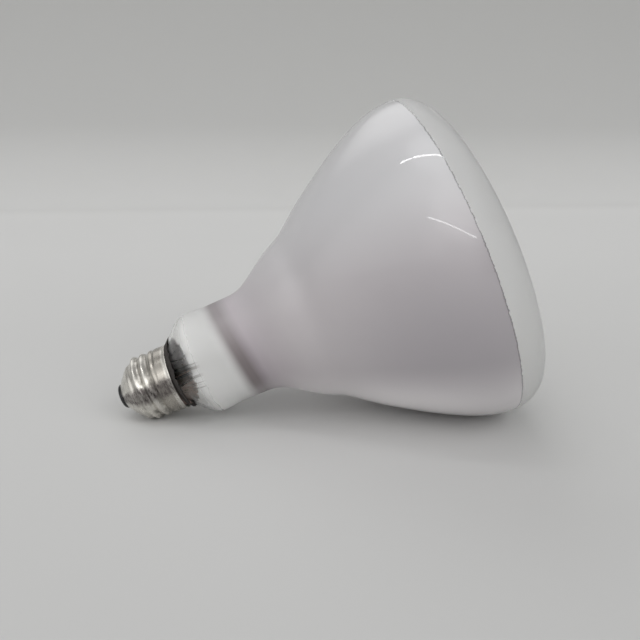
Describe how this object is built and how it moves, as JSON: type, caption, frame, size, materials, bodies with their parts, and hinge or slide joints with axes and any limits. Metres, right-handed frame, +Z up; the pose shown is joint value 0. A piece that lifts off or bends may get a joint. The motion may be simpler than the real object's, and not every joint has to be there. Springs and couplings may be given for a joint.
{
  "type": "incandescent reflector bulb",
  "caption": "Wide flood reflector bulb lying on its side, with a screw cap, a short waisted neck, a mirrored flaring cone and a frosted domed face.",
  "frame": {"origin": "on the table, under the middle of the lamp's bounding box", "axes": "+Z up, +X level along the lamp from the cap's end towards the domed face, +Y to the lamp's far side; the lamp's own axis rises by 22.6 degrees from the cap to the face"},
  "size_m": [0.1606, 0.1268, 0.1207],
  "materials": {
    "envelope_glass": "glossy outside, mirrored inside from the neck to the rim, frosted face, clear near the cap",
    "cap_metal": "bright rolled metal",
    "black_glass": "glossy black",
    "contact_brass": "plain",
    "tip_solder": "dull solder",
    "lip_solder": "dull solder",
    "cement": "rough, baked",
    "stem_glass": "clear",
    "exhaust_glass": "clear",
    "arbor_glass": "clear",
    "lead_copper": "drawn wire",
    "fuse_alloy": "drawn wire",
    "lead_nickel": "drawn wire",
    "deflector_metal": "bright sheet",
    "anchor_steel": "drawn wire",
    "tungsten": "drawn and coiled"
  },
  "bodies": {
    "root": {"glass_envelope": "envelope_glass", "screw_shell": "cap_metal", "insulator": "black_glass", "centre_contact": "contact_brass", "centre_solder": "tip_solder", "side_solder": "lip_solder", "basing_cement": "cement", "stem": "stem_glass", "exhaust_tube": "exhaust_glass", "outer_lead_centre": "lead_copper", "fuse_link": "fuse_alloy", "outer_lead_tip": "lead_copper", "outer_lead_side": "lead_copper", "inner_lead_far": "lead_nickel", "inner_lead_near": "lead_nickel", "arbor": "arbor_glass", "heat_deflector": "deflector_metal", "anchor_1": "anchor_steel", "anchor_2": "anchor_steel", "anchor_3": "anchor_steel", "anchor_4": "anchor_steel", "filament": "tungsten"}
  },
  "joints": []
}
